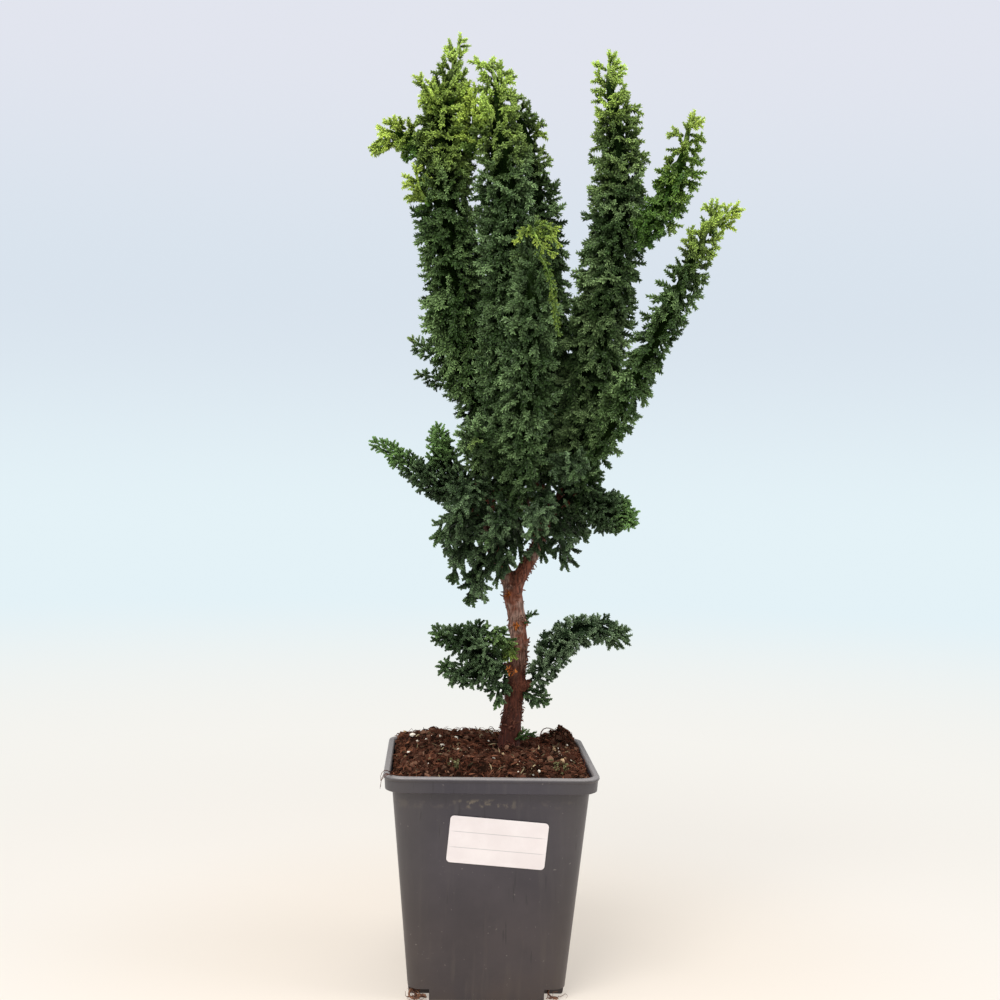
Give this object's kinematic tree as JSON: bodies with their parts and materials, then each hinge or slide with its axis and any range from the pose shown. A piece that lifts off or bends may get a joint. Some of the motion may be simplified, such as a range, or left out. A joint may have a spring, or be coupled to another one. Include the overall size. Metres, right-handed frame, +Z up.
{
  "type": "hinoki cypress bonsai in a square nursery pot",
  "caption": "Small hinoki cypress with dense rope-like upright shoots on a forked trunk, growing in peat in a square tapered plastic pot with a blank sticker.",
  "frame": {"origin": "middle of the flat underside of the pot", "axes": "+Z up along the tree, -Y the pot's front wall with the label, +X to the right seen from the front"},
  "size_m": [0.1959, 0.11, 0.5039],
  "materials": {
    "pot_plastic": "dark grey moulded plastic, slightly dusty",
    "soil_peat": "dark brown peat with fibres, perlite and small stones",
    "trunk_bark": "red-brown flaking bark",
    "label_paper": "white coated sticker",
    "root_skin": "brown dry roots",
    "leaf_dark": "dark green scale leaves",
    "leaf_middle": "green scale leaves",
    "leaf_light": "yellow-green young scale leaves",
    "leaf_blue": "blue-green scale leaves"
  },
  "bodies": {
    "root": {"label": "label_paper", "pot": "pot_plastic", "roots_left": "root_skin", "roots_right": "root_skin", "shoot_back_left": "leaf_dark", "shoot_back_middle": "leaf_dark", "shoot_back_right": "leaf_dark", "shoot_far_right": "leaf_middle", "shoot_front": "leaf_dark", "shoot_inner_right": "leaf_dark", "shoot_left_leader": "leaf_middle", "shoot_middle": "leaf_dark", "shoot_right_leader": "leaf_dark", "shoot_right_side": "leaf_light", "soil": "soil_peat", "spray_back_low": "leaf_blue", "spray_far_right_tip": "leaf_light", "spray_front_far_right": "leaf_blue", "spray_front_left": "leaf_blue", "spray_front_middle": "leaf_blue", "spray_front_right": "leaf_blue", "spray_front_upper": "leaf_dark", "spray_hanging_back_left": "leaf_blue", "spray_hanging_back_right": "leaf_blue", "spray_hanging_left": "leaf_blue", "spray_hanging_left_front": "leaf_blue", "spray_hanging_left_low": "leaf_blue", "spray_hanging_middle": "leaf_blue", "spray_hanging_right": "leaf_blue", "spray_hanging_right_far": "leaf_blue", "spray_hanging_right_near": "leaf_blue", "spray_left_arm": "leaf_blue", "spray_left_upper": "leaf_blue", "spray_low_front_tuft": "leaf_middle", "spray_low_left": "leaf_blue", "spray_low_left_inner": "leaf_blue", "spray_low_left_under": "leaf_blue", "spray_low_left_upper": "leaf_blue", "spray_low_right": "leaf_blue", "spray_low_right_under": "leaf_blue", "spray_right_arm": "leaf_blue", "spray_right_hanging": "leaf_dark", "spray_top_left": "leaf_light", "sprig_at_base": "leaf_middle", "sprig_on_trunk": "leaf_middle", "trunk": "trunk_bark"}
  },
  "joints": []
}
